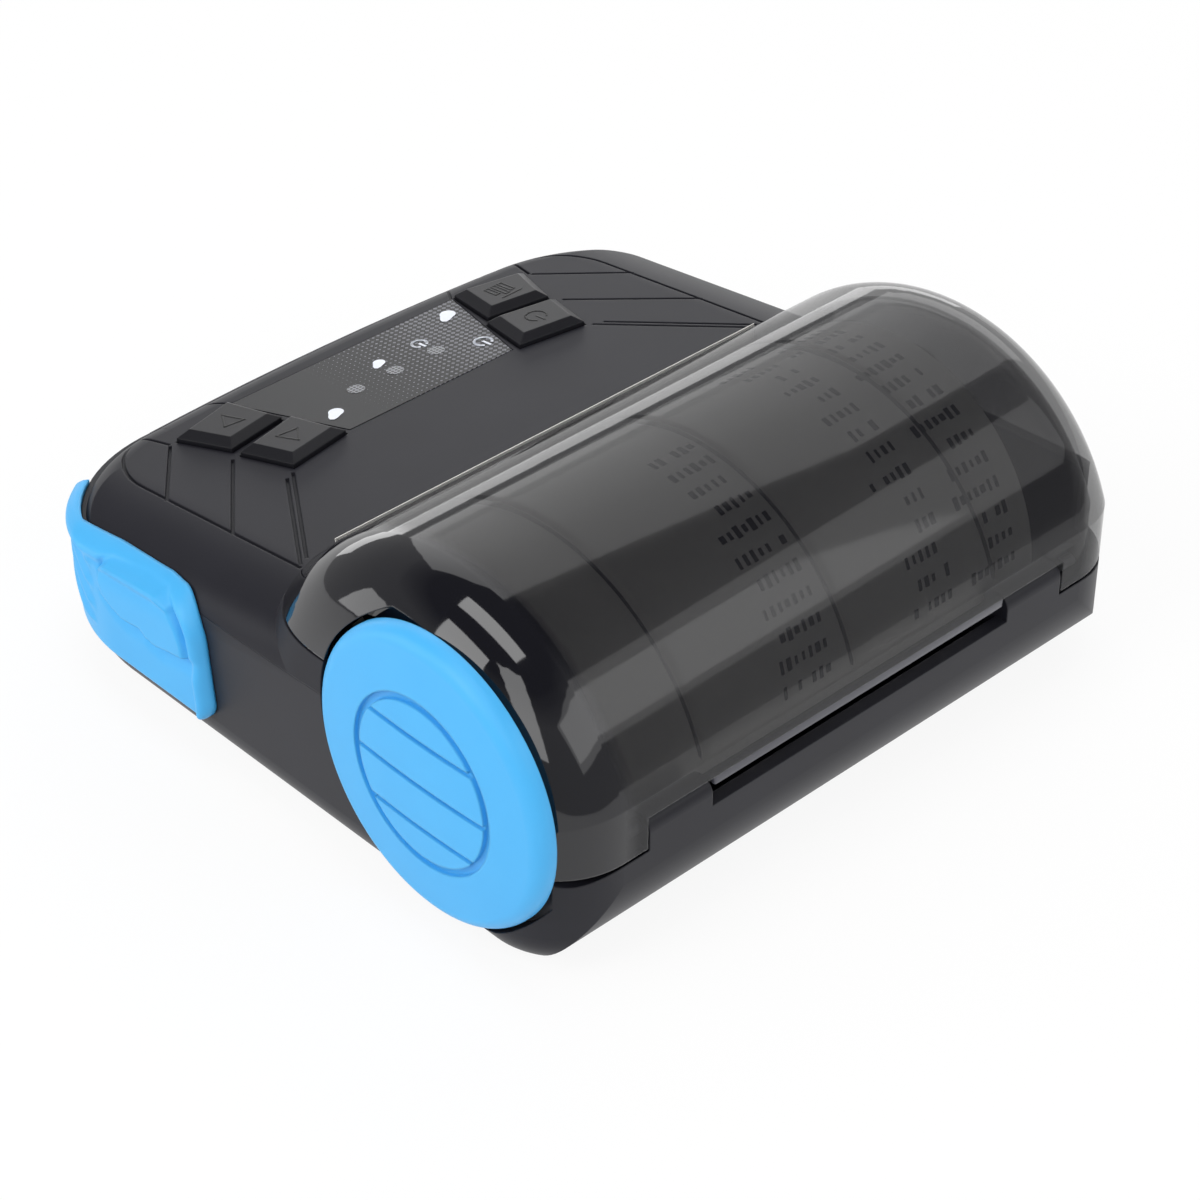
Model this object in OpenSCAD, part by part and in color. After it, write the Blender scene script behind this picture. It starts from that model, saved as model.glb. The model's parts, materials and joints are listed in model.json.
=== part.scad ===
// Portable thermal printer for 80 mm paper, built as an assembly.
// X runs along the paper roll, the user stands at minus Y, Z points up.
// The object rests on z = 0. Every size is in millimetres.

/* [Case] */
// width over the two side walls
body_w = 112; // [110:0.5:114]
// depth from the front bow to the rear face
body_d = 114; // [113:0.5:115]
// thickness of the moulded walls
wall = 2; // [1.8:0.1:2.2]
// plan radius of the two front corners
front_r = 24; // [22:0.5:26]
// how far the front face bows out in the middle
front_bow = 3.65; // [3:0.05:4.5]
// plan radius of the two rear corners
rear_r = 12; // [11.5:0.5:12]
// rounding of the bottom edge
bottom_r = 6; // [5.5:0.1:6]
// larger rounding of the rear bottom edge
rear_bottom_r = 12.3; // [11.5:0.1:13]
// height of the rear parting line
rear_top = 16.5; // [16.3:0.1:16.6]
// height of the side parting line at mid depth
seam_z = 24.4; // [24:0.1:24.8]
// rise of the side parting line for each mm towards the rear
seam_slope = 0.05; // [0.04:0.01:0.06]

/* [Key panel] */
// height of the panel at the front edge
panel_z = 23.8; // [23.5:0.1:24.1]
// tilt of the panel
panel_tilt = 7.4; // [7:0.1:7.8]
// half width inside the outline groove
panel_half = 45; // [44:0.5:46]
// plan radius of the outline groove at the front corners
panel_r = 14; // [12:0.5:16]
// width of the fine grooves
groove_w = 0.5; // [0.4:0.1:0.6]
// depth of the fine grooves
groove_d = 0.4; // [0.3:0.1:0.5]
// how far the keys stand above the panel
key_rise = 1.6; // [1.2:0.1:2]
// height of the upright foot of each key, below its slopes
key_wall = 0.6; // [0.4:0.1:0.8]
// travel of a key
key_travel = 0.8; // [0.6:0.1:0.8]

/* [Paper cover] */
// outer radius of the hump
hump_r = 33.2; // [33:0.1:33.3]
// depth position of the hump axis
hump_y = 25.7; // [25.6:0.1:25.8]
// height of the hump axis
hump_z = 14.3; // [14.2:0.1:14.4]
// rounding of the two hump ends
hump_end_r = 12; // [11.8:0.1:12]
// height of the lower front edge of the cover
cover_edge_z = 31.3; // [31.2:0.1:31.5]
// height of the rear edge of the cover
cover_rear_z = 16.9; // [16.85:0.05:17]
// depth position of the hinge axis
hinge_y = 54.8; // [54.7:0.05:54.9]
// height of the hinge axis
hinge_z = 19.2; // [19.1:0.05:19.3]
// radius of the hinge pins
hinge_pin_r = 0.9; // [0.8:0.1:1]

/* [Release disc] */
// radius of the disc
disc_r = 21.3; // [21:0.1:21.5]
// depth position of the disc centre
disc_y = 34.9; // [34.8:0.1:35]
// height of the disc centre
disc_z = 24.4; // [24.3:0.1:24.5]
// distance of the disc back from the middle of the printer
disc_back_x = 54.5; // [54.4:0.1:54.6]
// thickness of the disc at its rim
disc_rim_t = 0.8; // [0.7:0.1:0.9]
// radius of its round edge
disc_edge_r = 2.2; // [2:0.1:2.4]
// radius of its flat dome
disc_dome_r = 180; // [170:5:200]
// total thickness of the disc at its face
disc_face_t = 4; // [3.8:0.1:4.2]
// radius of the ring groove on the face
disc_ring_r = 12.9; // [12:0.1:13.5]
// spacing of the three straight grooves
disc_line_pitch = 7; // [6:0.5:7]
// travel of the disc
disc_travel = 1.4; // [1:0.1:1.4]

/* [Paper] */
// width of the paper
paper_w = 79.5; // [79:0.1:80]
// radius of the paper roll
roll_r = 17; // [10:0.5:17]
// radius of the roll core
core_r = 6.5; // [6:0.1:7]
// thickness of the paper web
web_t = 0.12; // [0.1:0.01:0.14]

/* [Print mechanism] */
// radius of the platen rubber
platen_r = 5.5; // [5.3:0.1:5.6]
// radius of the platen shaft
shaft_r = 2; // [1.8:0.1:2]
// gear module
gear_m = 0.6; // [0.6:0.05:0.6]
// teeth on the platen gear
platen_teeth = 20; // [20:1:20]
// teeth on the idler gear
idler_teeth = 24; // [24:1:24]
// teeth on the motor pinion
pinion_teeth = 12; // [12:1:12]

/* [Hidden] */
$fn = 96;

half_w = body_w / 2;
half_d = body_d / 2;
foot_t = 1;
floor_z = foot_t + wall;
run = 0.05;
tiny = 0.05;
far = 200;
bow_r = (pow(half_w, 2) + pow(front_bow, 2)) / (2 * front_bow);
corner_x = half_w - front_r;
bow_y = bow_r - half_d;
corner_y = bow_y - sqrt(pow(bow_r - front_r, 2) - pow(corner_x, 2));
rear_x = half_w - rear_r;
rear_y = half_d - rear_r;
slab_y = 0.2 - half_d;
slope_deg = atan(seam_slope);
top_r = 5;
side_big_r = 22;
side_small_r = 6.5;
side_w = 13;
pocket_r = disc_r + 0.7;
pocket_x = disc_back_x - disc_travel - 0.4;
plate_t = 2;
axle_y = 3;
axle_z = 24.5;
roll_y = 27.5;
bay_r = 17.3;
bay_t = 1.2;
roll_z = floor_z + bay_r + bay_t;
bay_x = 40.6;
edge_y = hump_y - sqrt(pow(hump_r, 2) - pow(cover_edge_z - hump_z, 2));
tear_y = edge_y - 0.6;
tear_t = 0.5;
lug_in = 28.4;
lug_out = 39.5;
lug_r = half_d - hinge_y;
pin_in = 28.8;
pin_out = 44.2;
side_end_y = 18;
seam_gap = 0.3;
step_y = 48;
trough_r = 3.5;
plate_in = 43;
plate_out = 44.2;
gear_in = 44.6;
gear_out = 47.4;
lift_dir = [axle_z - hinge_z, hinge_y - axle_y];
lift_n = lift_dir / norm(lift_dir);
mesh_a = gear_m * (platen_teeth + idler_teeth) / 2;
mesh_b = gear_m * (pinion_teeth + idler_teeth) / 2;
idler_y = axle_y - lift_n[0] * mesh_a;
idler_z = axle_z - lift_n[1] * mesh_a;
motor_y = idler_y - mesh_b;
motor_z = idler_z;
latch_y = 12;
latch_z = 13;
latch_x = 48.2;
latch_t = 1.6;
post_y = 19.5;
post_z = 20;
post_r = 2.4;
post_tip_x = 49;
stem_r = 3;
mid_x = -(disc_back_x + disc_face_t - half_w) / 2;
door_screw_y = -15;
rod_y = -5.4;
rod_z = 18;
head_gap = 0.6;
head_y = axle_y - platen_r - head_gap;
ceramic_t = 0.8;
sink_t = 3;
board_z = 14.4;
board_t = 1.6;
usb_y = -21;
usb_w = 9;
usb_h = 3.2;
jack_y = -34;
jack_w = 8;
jack_h = 5.5;
jack_r = 2.3;
port_in = 44;
flap_t = 1.3;
flap_gap = 0.3;
flap_low = 6.7;
flap_rear = -9.5;
flap_drop = 2.1;
flap_hinge = -55;
screw_spots = [[39.5, -45.5], [51, -9]];
screw_top = 22.6;
boss_z = 16;
boss_r = 3.2;
board_posts = [[38, -36], [38, -20]];
key_deep = 3.4;
dome_gap = 0.1;

// sizes of the four keys, for the right side; the left side is mirrored
key_front_pts = [[22, -49.7], [33.6, -46.7], [30.5, -37.7], [20, -39.6]];
key_rear_pts = [[18.9, -38.6], [30.4, -35.9], [27.9, -26.9], [16.8, -28.9]];
label_pts = [[-21.5, -49.8], [21.5, -49.8], [15.6, -29.5], [-15.6, -29.5]];
panel_lines = [[[24, -54], [21.3, -49.8]], [[36.1, -52.2], [34.8, -46.8]],
    [[35, -46.5], [45, -34]], [[31.8, -36], [45, -19]],
    [[28.8, -26.1], [42.7, -5.8]], [[30.4, -25.4], [44.3, -5.1]]];
light_spots = [[-8.5, -38.5], [-0.5, -38.5], [7, -38.5]];

// the tilted frame of the key panel
function up_y(y) = (y - slab_y) / cos(panel_tilt);
function pts_up(pts) = [for (p = pts) [p[0], up_y(p[1])]];
function middle(pts) = [(pts[0][0] + pts[1][0] + pts[2][0] + pts[3][0]) / 4,
    (pts[0][1] + pts[1][1] + pts[2][1] + pts[3][1]) / 4];
function grown(pts, kx, ky) = [for (p = pts)
    middle(pts) + [(p[0] - middle(pts)[0]) * kx, (p[1] - middle(pts)[1]) * ky]];
module on_panel() {
    translate([0, slab_y, panel_z]) rotate([panel_tilt, 0, 0]) children();
}
// the middle plane of the case lies a little to the left, so that the whole
// printer with its disc is centred over the origin
module mid() {
    translate([mid_x, 0, 0]) children();
}
module both() {
    children();
    mirror([1, 0, 0]) children();
}
// a shape drawn in depth and height, run along X from one place to another
module along_x(x0, x1) {
    translate([x0, 0, 0]) rotate([90, 0, 90]) linear_extrude(x1 - x0) children();
}
module rod_x(x0, x1, y, z, r) {
    translate([x0, y, z]) rotate([0, 90, 0]) cylinder(r = r, h = x1 - x0);
}

// half section of a wall with its lower outer corner rounded
module edge_profile(rad, r, h) {
    square([rad - r, h]);
    translate([0, r]) square([rad, h - r]);
    intersection() {
        translate([rad - r, r]) circle(r);
        square([rad + 1, h]);
    }
}
// a block with the plan outline of the case, g inside it, its lower edge rounded
module case_block(g, r, h) {
    both() {
        translate([corner_x, corner_y, 0]) rotate([0, 0, -90])
            rotate_extrude(angle = 90) edge_profile(front_r - g, r, h);
        translate([corner_x, rear_y, 0]) rotate([90, 0, 0])
            linear_extrude(rear_y - corner_y) edge_profile(front_r - g, r, h);
        translate([rear_x, rear_y, 0])
            rotate_extrude(angle = 90) edge_profile(rear_r - g, r, h);
    }
    intersection() {
        translate([0, bow_y, 0]) rotate_extrude($fn = 720)
            translate([bow_r - front_r, 0]) edge_profile(front_r - g, r, h);
        translate([-corner_x, corner_y - 40, -1]) cube([2 * corner_x, 40, h + 2]);
    }
    translate([-rear_x, rear_y, 0]) rotate([90, 0, 90])
        linear_extrude(2 * rear_x) edge_profile(rear_r - g, r, h);
    translate([-corner_x - 1, corner_y - 2.5, 0])
        cube([2 * corner_x + 2, rear_y - corner_y + 3, h]);
}
// everything under the sloping side parting line, moved up by d
module under_seam(d) {
    translate([0, 0, seam_z + d]) rotate([slope_deg, 0, 0])
        translate([-far / 2, -far / 2, -far]) cube(far);
}
module rear_edge_cut(g) {
    r = rear_bottom_r - g;
    difference() {
        translate([-far / 2, half_d - rear_bottom_r, foot_t + g - 5])
            cube([far, rear_bottom_r + 5, r + 5]);
        rod_x(-far, far, half_d - rear_bottom_r, foot_t + rear_bottom_r, r);
    }
}
// the lower body as a full solid, g inside its skin
module low_body(g) {
    difference() {
        translate([0, 0, foot_t + g]) case_block(g, bottom_r - g, 40);
        rear_edge_cut(g);
    }
}
// the side section of the upper body, g inside its skin
module side_section(g) {
    a = side_big_r - side_small_r;
    cx = half_w - side_small_r;
    bx = half_w - side_w;
    cz = sqrt(a * a - pow(cx - bx, 2)) - side_big_r;
    tx = bx + (cx - bx) * side_big_r / a;
    translate([-bx, -30]) square([2 * bx, 30 - g]);
    translate([-half_w + g, -30]) square([body_w - 2 * g, 30 + cz]);
    for (s = [-1, 1]) {
        translate([s * cx, cz]) circle(side_small_r - g);
        intersection() {
            translate([s * bx, -side_big_r]) circle(side_big_r - g);
            translate([s > 0 ? bx - 1 : -tx, cz - 3]) square([tx - bx + 1, 3 - cz]);
        }
    }
}
// what the sloping shoulders take away from the lower body
module shoulder_cut(g) {
    on_panel() difference() {
        translate([-80, -10, -12]) cube([160, up_y(8) + 10, 60]);
        translate([0, far / 2, 0]) rotate([90, 0, 0]) linear_extrude(far) side_section(g);
    }
}
module case_side(g) {
    difference() {
        low_body(g);
        shoulder_cut(g);
    }
}
// the upper body as a full tilted slab, g inside its skin
module top_body(g) {
    on_panel() intersection() {
        translate([0, half_d, -g]) mirror([0, 0, 1]) case_block(g, top_r - g, 22);
        translate([0, far / 2, 0]) rotate([90, 0, 0]) linear_extrude(far) side_section(g);
    }
}
// the hump of the cover as a full solid, g inside its skin
module hump(g) {
    translate([0, hump_y, hump_z]) rotate([0, 90, 0]) rotate_extrude()
        hump_half(g);
}
module hump_half(g) {
    r = hump_end_r - g;
    rr = hump_r - hump_end_r;
    xx = half_w - hump_end_r;
    translate([0, -half_w + g]) square([rr, body_w - 2 * g]);
    translate([0, -xx]) square([hump_r - g, 2 * xx]);
    for (s = [-1, 1]) translate([rr, s * xx]) intersection() {
        circle(r);
        translate([-tiny, s > 0 ? -tiny : -r - 1]) square([r + 1, r + 1 + tiny]);
    }
}
module outline_tower(g) {
    translate([0, 0, 1]) linear_extrude(60) plan(g);
}
module plan(g) {
    translate([-half_w + g, -half_d]) square([body_w - 2 * g, half_d + rear_y]);
    translate([-rear_x, 0]) square([2 * rear_x, half_d - g]);
    for (s = [-1, 1]) translate([s * rear_x, rear_y]) circle(rear_r - g);
}
module pocket(r, x0, x1) {
    rod_x(x0, x1, disc_y, disc_z, r);
}

module lower_case() color([0.10, 0.10, 0.11]) mid() {
    difference() {
        union() {
            difference() {
                intersection() {
                    case_side(0);
                    under_seam(0);
                }
                case_side(wall);
                // low rear part where the cover comes down
                translate([-far / 2, step_y, rear_top]) cube([far, far, far]);
                pocket(pocket_r, pocket_x, half_w + 5);
            }
            ear();
            hinge_lugs();
            case_bosses();
            // wall between the lugs under the rear paper slot
            translate([-lug_in - 0.5, half_d - wall, rear_top - 1])
                cube([2 * lug_in + 1, wall, 1.9]);
            rod_x(latch_x + latch_t + 0.4, half_w - wall + tiny, latch_y, latch_z, 2.6);
        }
        both() for (p = screw_spots) {
            translate([p[0], p[1], 0]) cylinder(r = 1.2, h = 40);
            translate([p[0], p[1], 0]) cylinder(r = 2.4, h = 7.5);
        }
        both() rod_x(pin_in, 41, hinge_y, hinge_z, hinge_pin_r);
        both() rod_x(lug_out + 0.1, far, hinge_y, hinge_z, trough_r);
        rod_x(47, half_w - 1, latch_y, latch_z, 1);
        pocket(stem_r + run, 40, 60);
        rod_x(40, 60, post_y, post_z, post_r + 0.3);
        // ports behind the flap
        translate([port_in, usb_y - usb_w / 2 - 0.2, board_z + board_t - 0.2])
            cube([20, usb_w + 0.4, usb_h + 0.4]);
        translate([port_in, jack_y - jack_w / 2 - 0.2, board_z + board_t - 0.2])
            cube([20, jack_w + 0.4, jack_h + 0.4]);
        anchor_post(0);
        // battery opening and the step that its door lies in
        translate([-34, -46, 0]) cube([68, 28.5, 10]);
        translate([-36, -48, 0]) cube([72, 37, foot_t + 1.2]);
        translate([0, door_screw_y, 0]) cylinder(r = 1.1, h = 10);
    }
}
// the round plate behind a disc, with the short wall that joins it to the side
module ear() {
    difference() {
        union() {
            intersection() {
                pocket(pocket_r + 1.5, pocket_x - plate_t, half_w - wall + tiny);
                low_body(0.5);
                under_seam(-0.2);
            }
            intersection() {
                pocket(disc_r - 0.8, pocket_x - plate_t, pocket_x);
                rod_x(0, 60, hump_y, hump_z, 25.4);
            }
        }
        pocket(pocket_r, pocket_x, 60);
        translate([40, step_y + 1, rear_top]) cube(40);
    }
}
module hinge_lugs() {
    both() {
        rod_x(lug_in, lug_out, hinge_y, hinge_z, lug_r);
        translate([lug_in, hinge_y - lug_r, rear_top - 3])
            cube([lug_out - lug_in, 2 * lug_r, hinge_z - rear_top + 3]);
    }
}
module case_bosses() {
    intersection() {
        union() {
            both() for (p = screw_spots)
                translate([p[0], p[1], 1.5]) cylinder(r = boss_r, h = boss_z - 1.5);
            both() for (p = board_posts)
                translate([p[0], p[1], 1.5]) cylinder(r = 1.8, h = board_z - 1.5);
            translate([0, door_screw_y, 1.5]) cylinder(r = 2.6, h = 6);
        }
        low_body(0.5);
        under_seam(0);
    }
}

module upper_case() color([0.09, 0.09, 0.10]) mid() {
    difference() {
        union() {
            difference() {
                upper_skin(0);
                upper_hollow();
                under_seam(0);
            }
            upper_bosses();
        }
        both() for (p = screw_spots) translate([p[0], p[1], 0]) cylinder(r = 1, h = screw_top + 0.6);
        both() {
            key_hole(key_front_pts);
            key_hole(key_rear_pts);
        }
        on_panel() translate([0, 0, -0.3]) linear_extrude(2) polygon(pts_up(grown(label_pts, 1.01, 1.01)));
        for (p = light_spots) on_panel() translate([p[0], up_y(p[1]), -4]) cylinder(r = 1.6, h = 6);
        panel_grooves();
    }
}
module upper_skin(g) {
    difference() {
        top_body(g);
        translate([-far / 2, 7, 0]) cube([far, far, far]);
        translate([-far / 2, edge_y, cover_edge_z - 0.4]) cube([far, far, far]);
    }
    intersection() {
        hump(g);
        outline_tower(g);
        translate([-far / 2, -4, 0]) cube([far, side_end_y + 4, cover_edge_z - 0.4]);
    }
}
module upper_hollow() {
    difference() {
        top_body(wall);
        translate([-far / 2, 7.01, 0]) cube([far, far, far]);
    }
    intersection() {
        hump(wall);
        translate([-far / 2, -5.5, 0]) cube([far, far, far]);
    }
    translate([-41, tear_y - tear_t, 0]) cube([82, 40, 60]);
    translate([-48, edge_y + 0.2, 0]) cube([96, 40, 60]);
    pocket(pocket_r, 40, 70);
}
module upper_bosses() {
    intersection() {
        both() for (p = screw_spots) translate([p[0], p[1], boss_z])
            cylinder(r = boss_r - 0.9, h = 30);
        top_body(0.5);
    }
}
module key_hole(pts) {
    on_panel() translate([0, 0, -6]) linear_extrude(8) polygon(pts_up(grown(pts, 1.04, 1.04)));
}
module panel_grooves() {
    y0 = up_y(-54);
    on_panel() translate([0, 0, -groove_d]) {
        both() {
            for (l = panel_lines) linear_extrude(2) groove(l[0], l[1]);
            translate([panel_half - groove_w, y0 + panel_r, 0]) cube([groove_w, 36, 2]);
            translate([panel_half - panel_r, y0 + panel_r, 0]) rotate([0, 0, -90])
                rotate_extrude(angle = 90) translate([panel_r - groove_w, 0]) square([groove_w, 2]);
        }
        translate([panel_r - panel_half, y0, 0])
            cube([2 * (panel_half - panel_r), groove_w, 2]);
    }
}
module groove(a, b) {
    p = [a[0], up_y(a[1])];
    q = [b[0], up_y(b[1])];
    translate(p) rotate(atan2(q[1] - p[1], q[0] - p[0]))
        translate([0, -groove_w / 2]) square([norm(q - p), groove_w]);
}

module paper_cover() color([0.16, 0.16, 0.18, 0.55]) mid() {
    difference() {
        union() {
            difference() {
                intersection() {
                    hump(0);
                    outline_tower(0);
                }
                intersection() {
                    hump(wall);
                    outline_tower(wall);
                }
                // the front edge, the rear edge and the round opening for the disc
                translate([-far / 2, side_end_y + seam_gap - far, cover_edge_z - far]) cube(far);
                translate([-far / 2, -far / 2, cover_rear_z - far]) cube(far);
                pocket(pocket_r, pocket_x, 70);
                // the left wall stands on the side of the lower case
                intersection() {
                    under_seam(seam_gap);
                    translate([-far, step_y + 0.7 - far, 0]) cube(far);
                }
            }
            cover_ribs();
            both() rod_x(lug_out + 0.3, 44.6, hinge_y, hinge_z, lug_r);
        }
        translate([-lug_out - 0.3, 50, 10]) cube([2 * lug_out + 0.6, 20, 11.9]);
        both() rod_x(lug_out, pin_out + 0.2, hinge_y, hinge_z, hinge_pin_r + run);
    }
}
module cover_ribs() {
    for (x = [-28, 0, 28]) difference() {
        intersection() {
            rod_x(x - 0.6, x + 0.6, hump_y, hump_z, hump_r - wall + tiny);
            translate([-60, 4, 24]) cube([120, half_d - wall - 4 + tiny, 60]);
        }
        rod_x(x - 1, x + 1, hump_y, hump_z, hump_r - wall - 0.8);
    }
}
module hinge_pins() color([0.7, 0.7, 0.72]) mid()
    both() rod_x(pin_in, pin_out, hinge_y, hinge_z, hinge_pin_r);
module coil(r, wire, turns) {
    rotate_extrude() for (i = [0:turns - 1])
        translate([r, wire + i * wire * 1.7]) circle(wire, $fn = 24);
}

// a key cap with bevelled sides, its stem and the flange that keeps it in
module key_cap(pts) {
    on_panel() {
        translate([0, 0, -key_deep]) linear_extrude(key_deep) polygon(pts_up(pts));
        translate([0, 0, -key_deep]) linear_extrude(1) polygon(pts_up(grown(pts, 1.16, 1)));
        hull() {
            translate([0, 0, -0.1]) linear_extrude(key_wall + 0.1) polygon(pts_up(pts));
            translate([0, 0, key_rise - 0.1]) linear_extrude(0.1) polygon(pts_up(grown(pts, 0.74, 0.74)));
        }
    }
}
module key_up() color([0.13, 0.13, 0.14]) mid() key_cap(key_rear_pts);
module key_down() color([0.13, 0.13, 0.14]) mid() key_cap(key_front_pts);
module key_feed() color([0.13, 0.13, 0.14]) mid() mirror([1, 0, 0]) key_cap(key_front_pts);
module key_power() color([0.13, 0.13, 0.14]) mid() mirror([1, 0, 0]) key_cap(key_rear_pts);
module key_membrane() color([0.3, 0.3, 0.32]) mid() on_panel() {
    difference() {
        translate([-35, up_y(-51), -6]) cube([70, 25.5, 0.8]);
        for (p = light_spots) translate([p[0], up_y(p[1]), -7]) cylinder(r = 1.8, h = 3);
    }
    both() for (pts = [key_front_pts, key_rear_pts])
        translate([middle(pts)[0], up_y(middle(pts)[1]), -5.5])
            cylinder(r = 2.5, h = 5.5 - key_deep - key_travel - dome_gap);
}
module key_board() color([0.06, 0.3, 0.16]) mid() on_panel()
    translate([-36, up_y(-51.5), -7.6]) cube([72, 26.5, 1.6]);
module status_label() color([0.05, 0.05, 0.06]) mid() on_panel()
    translate([0, 0, -0.3]) linear_extrude(0.35) polygon(pts_up(label_pts));
module light_guides() color([0.85, 0.87, 0.9]) mid() on_panel()
    for (p = light_spots) translate([p[0], up_y(p[1]), -6]) cylinder(r = 1.5, h = 5.7);

// saw edge of the blade: pairs of points along its length
module tear_bar() color([0.75, 0.75, 0.77]) mid() {
    n = 38;
    pitch = 80 / n;
    teeth = [for (i = [0:n], k = [0, 1]) if (i < n || k == 0)
        [-40 + (i + k / 2) * pitch, k == 0 ? 31 : 31.6]];
    translate([0, tear_y, 0]) rotate([90, 0, 0]) linear_extrude(tear_t)
        polygon(concat([[-40, 29.2]], teeth, [[40, 29.2]]));
    on_panel() translate([-40, up_y(tear_y - tear_t - 2.5), -wall - 0.5]) cube([80, 2.6, 0.5]);
    translate([-40, tear_y - tear_t, 28]) cube([80, tear_t, 1.5]);
}
module mech_frame() color([0.55, 0.55, 0.57]) mid() {
    difference() {
        union() {
            both() translate([plate_in, -12, floor_z]) cube([plate_out - plate_in, 19, 23]);
            translate([-plate_out, -12, floor_z]) cube([2 * plate_out, 20, 1.2]);
            translate([-plate_out, -12, floor_z]) cube([2 * plate_out, 1.2, 23]);
        }
        both() rod_x(40, 46, axle_y, axle_z, 3.3);
        both() translate([40, axle_y - 3.3, axle_z]) cube([6, 6.6, 10]);
        both() rod_x(40, 46, rod_y, rod_z, 1);
        rod_x(-46, -40, idler_y, idler_z, 1);
        rod_x(-46, -40, motor_y, motor_z, 1.5);
        // opening in the front wall for the motor and the wires
        translate([-plate_in, -13, floor_z + 1.2]) cube([2 * plate_in, 3, 12.6]);
    }
}
module heat_sink() color([0.7, 0.71, 0.73]) mid() {
    difference() {
        translate([-41.8, head_y - ceramic_t - sink_t, 16.2]) cube([83.6, sink_t, 11.3]);
        rod_x(-50, 50, rod_y, rod_z, 1 + run);
    }
}
module print_head() color([0.9, 0.88, 0.82]) mid()
    translate([-40.5, head_y - ceramic_t, 20]) cube([81, ceramic_t, 7.5]);
module head_rod() color([0.7, 0.7, 0.72]) mid() rod_x(-44.4, 44.4, rod_y, rod_z, 1);
module head_springs() color([0.6, 0.6, 0.62]) mid()
    both() translate([22, -10.8, 22.5]) rotate([-90, 0, 0]) coil(1.8, 0.35, 6);

module platen_bracket() color([0.12, 0.12, 0.13]) mid() {
    difference() {
        intersection() {
            union() {
                translate([-42.4, axle_y - 2, 31.5]) cube([84.8, 9, 10]);
                both() translate([40.6, axle_y - 3.5, axle_z - 3.5]) cube([1.8, 9, 20]);
            }
            hump(wall);
        }
        both() rod_x(38, 46, axle_y, axle_z, shaft_r + 0.3);
        translate([-40.2, axle_y + 1, 34]) cube([80.4, 9, 10]);
    }
}
module platen_rubber() color([0.08, 0.08, 0.08]) mid() difference() {
    rod_x(-40, 40, axle_y, axle_z, platen_r);
    rod_x(-41, 41, axle_y, axle_z, shaft_r);
}
module platen_shaft() color([0.75, 0.75, 0.77]) mid() rod_x(-48.2, 50.2, axle_y, axle_z, shaft_r);
module platen_bearings() color([0.85, 0.84, 0.8]) mid() both() difference() {
    union() {
        rod_x(42.4, 44.4, axle_y, axle_z, 3);
        rod_x(40.6, 42.4, axle_y, axle_z, shaft_r + 0.3);
    }
    rod_x(40, 46, axle_y, axle_z, shaft_r + run);
}

// involute gear outline: angle of a flank at a radius, then the tooth points
function inv(a) = tan(a) * 180 / PI - a;
function flank(r, n) = let (rb = gear_m * n / 2 * cos(20))
    90 / n - 1.2 * 12 / n + inv(20) - inv(acos(min(1, rb / max(r, rb))));
module gear(n, turn) {
    rp = gear_m * n / 2;
    rs = [for (k = [0:4]) rp - 1.2 * gear_m + k * 2.1 * gear_m / 4];
    polygon([for (i = [0:n - 1], j = [0:9])
        let (r = rs[j < 5 ? j : 9 - j], a = turn + i * 360 / n + (j < 5 ? -1 : 1) * flank(r, n))
        r * [cos(a), sin(a)]]);
}
to_idler = atan2(idler_z - axle_z, idler_y - axle_y);
idler_turn = to_idler + 180 + 180 / idler_teeth;
idler_step = 360 / idler_teeth;
to_motor = 180;
motor_off = round((to_motor - idler_turn) / idler_step) * idler_step + idler_turn - to_motor;
pinion_turn = -motor_off * idler_teeth / pinion_teeth + 180 / pinion_teeth;

module platen_gear() color([0.9, 0.9, 0.88]) mid() difference() {
    along_x(-gear_out, -gear_in) translate([axle_y, axle_z]) gear(platen_teeth, to_idler);
    rod_x(-60, -40, axle_y, axle_z, shaft_r);
}
module idler_gear() color([0.9, 0.9, 0.88]) mid() difference() {
    along_x(-gear_out, -gear_in) translate([idler_y, idler_z]) gear(idler_teeth, idler_turn);
    rod_x(-60, -40, idler_y, idler_z, 1 + run);
}
module idler_pin() color([0.7, 0.7, 0.72]) mid() {
    rod_x(-gear_out - 0.4, -plate_in, idler_y, idler_z, 1);
    rod_x(-gear_out - 1, -gear_out - 0.2, idler_y, idler_z, 1.8);
}
module motor_pinion() color([0.8, 0.7, 0.4]) mid() {
    along_x(-gear_out, -gear_in) translate([motor_y, motor_z]) gear(pinion_teeth, pinion_turn);
    rod_x(-gear_in, -plate_in + 3, motor_y, motor_z, 0.9);
}
module step_motor() color([0.5, 0.5, 0.52]) mid() difference() {
    union() {
        rod_x(-plate_in, -30, motor_y, motor_z, 5);
        translate([-34, motor_y - 6.4, motor_z - 2.5]) cube([3, 3, 5]);
    }
    rod_x(-plate_in - 1, -plate_in + 4, motor_y, motor_z, 0.9 + run);
}

module paper_bay() color([0.14, 0.14, 0.15]) mid() {
    difference() {
        union() {
            rod_x(-bay_x - bay_t, bay_x + bay_t, roll_y, roll_z, bay_r + bay_t);
            translate([-bay_x - bay_t, 40, rear_top - 0.3]) cube([2 * (bay_x + bay_t), 12, 1.2]);
            translate([-20, roll_y - 6, floor_z]) cube([40, 12, 1]);
        }
        rod_x(-bay_x, bay_x, roll_y, roll_z, bay_r);
        translate([-60, -40, 0]) cube([120, 49.5, 60]);
        translate([-60, 0, rear_top + 0.9]) cube([120, 60, 60]);
        // slot that the web leaves through
        translate([-bay_x, 9, 7.2]) cube([2 * bay_x, 7, 5.6]);
    }
}
module paper_roll() color([0.93, 0.93, 0.92]) mid() difference() {
    rod_x(-paper_w / 2, paper_w / 2, roll_y, roll_z, roll_r);
    rod_x(-50, 50, roll_y, roll_z, core_r);
}
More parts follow.
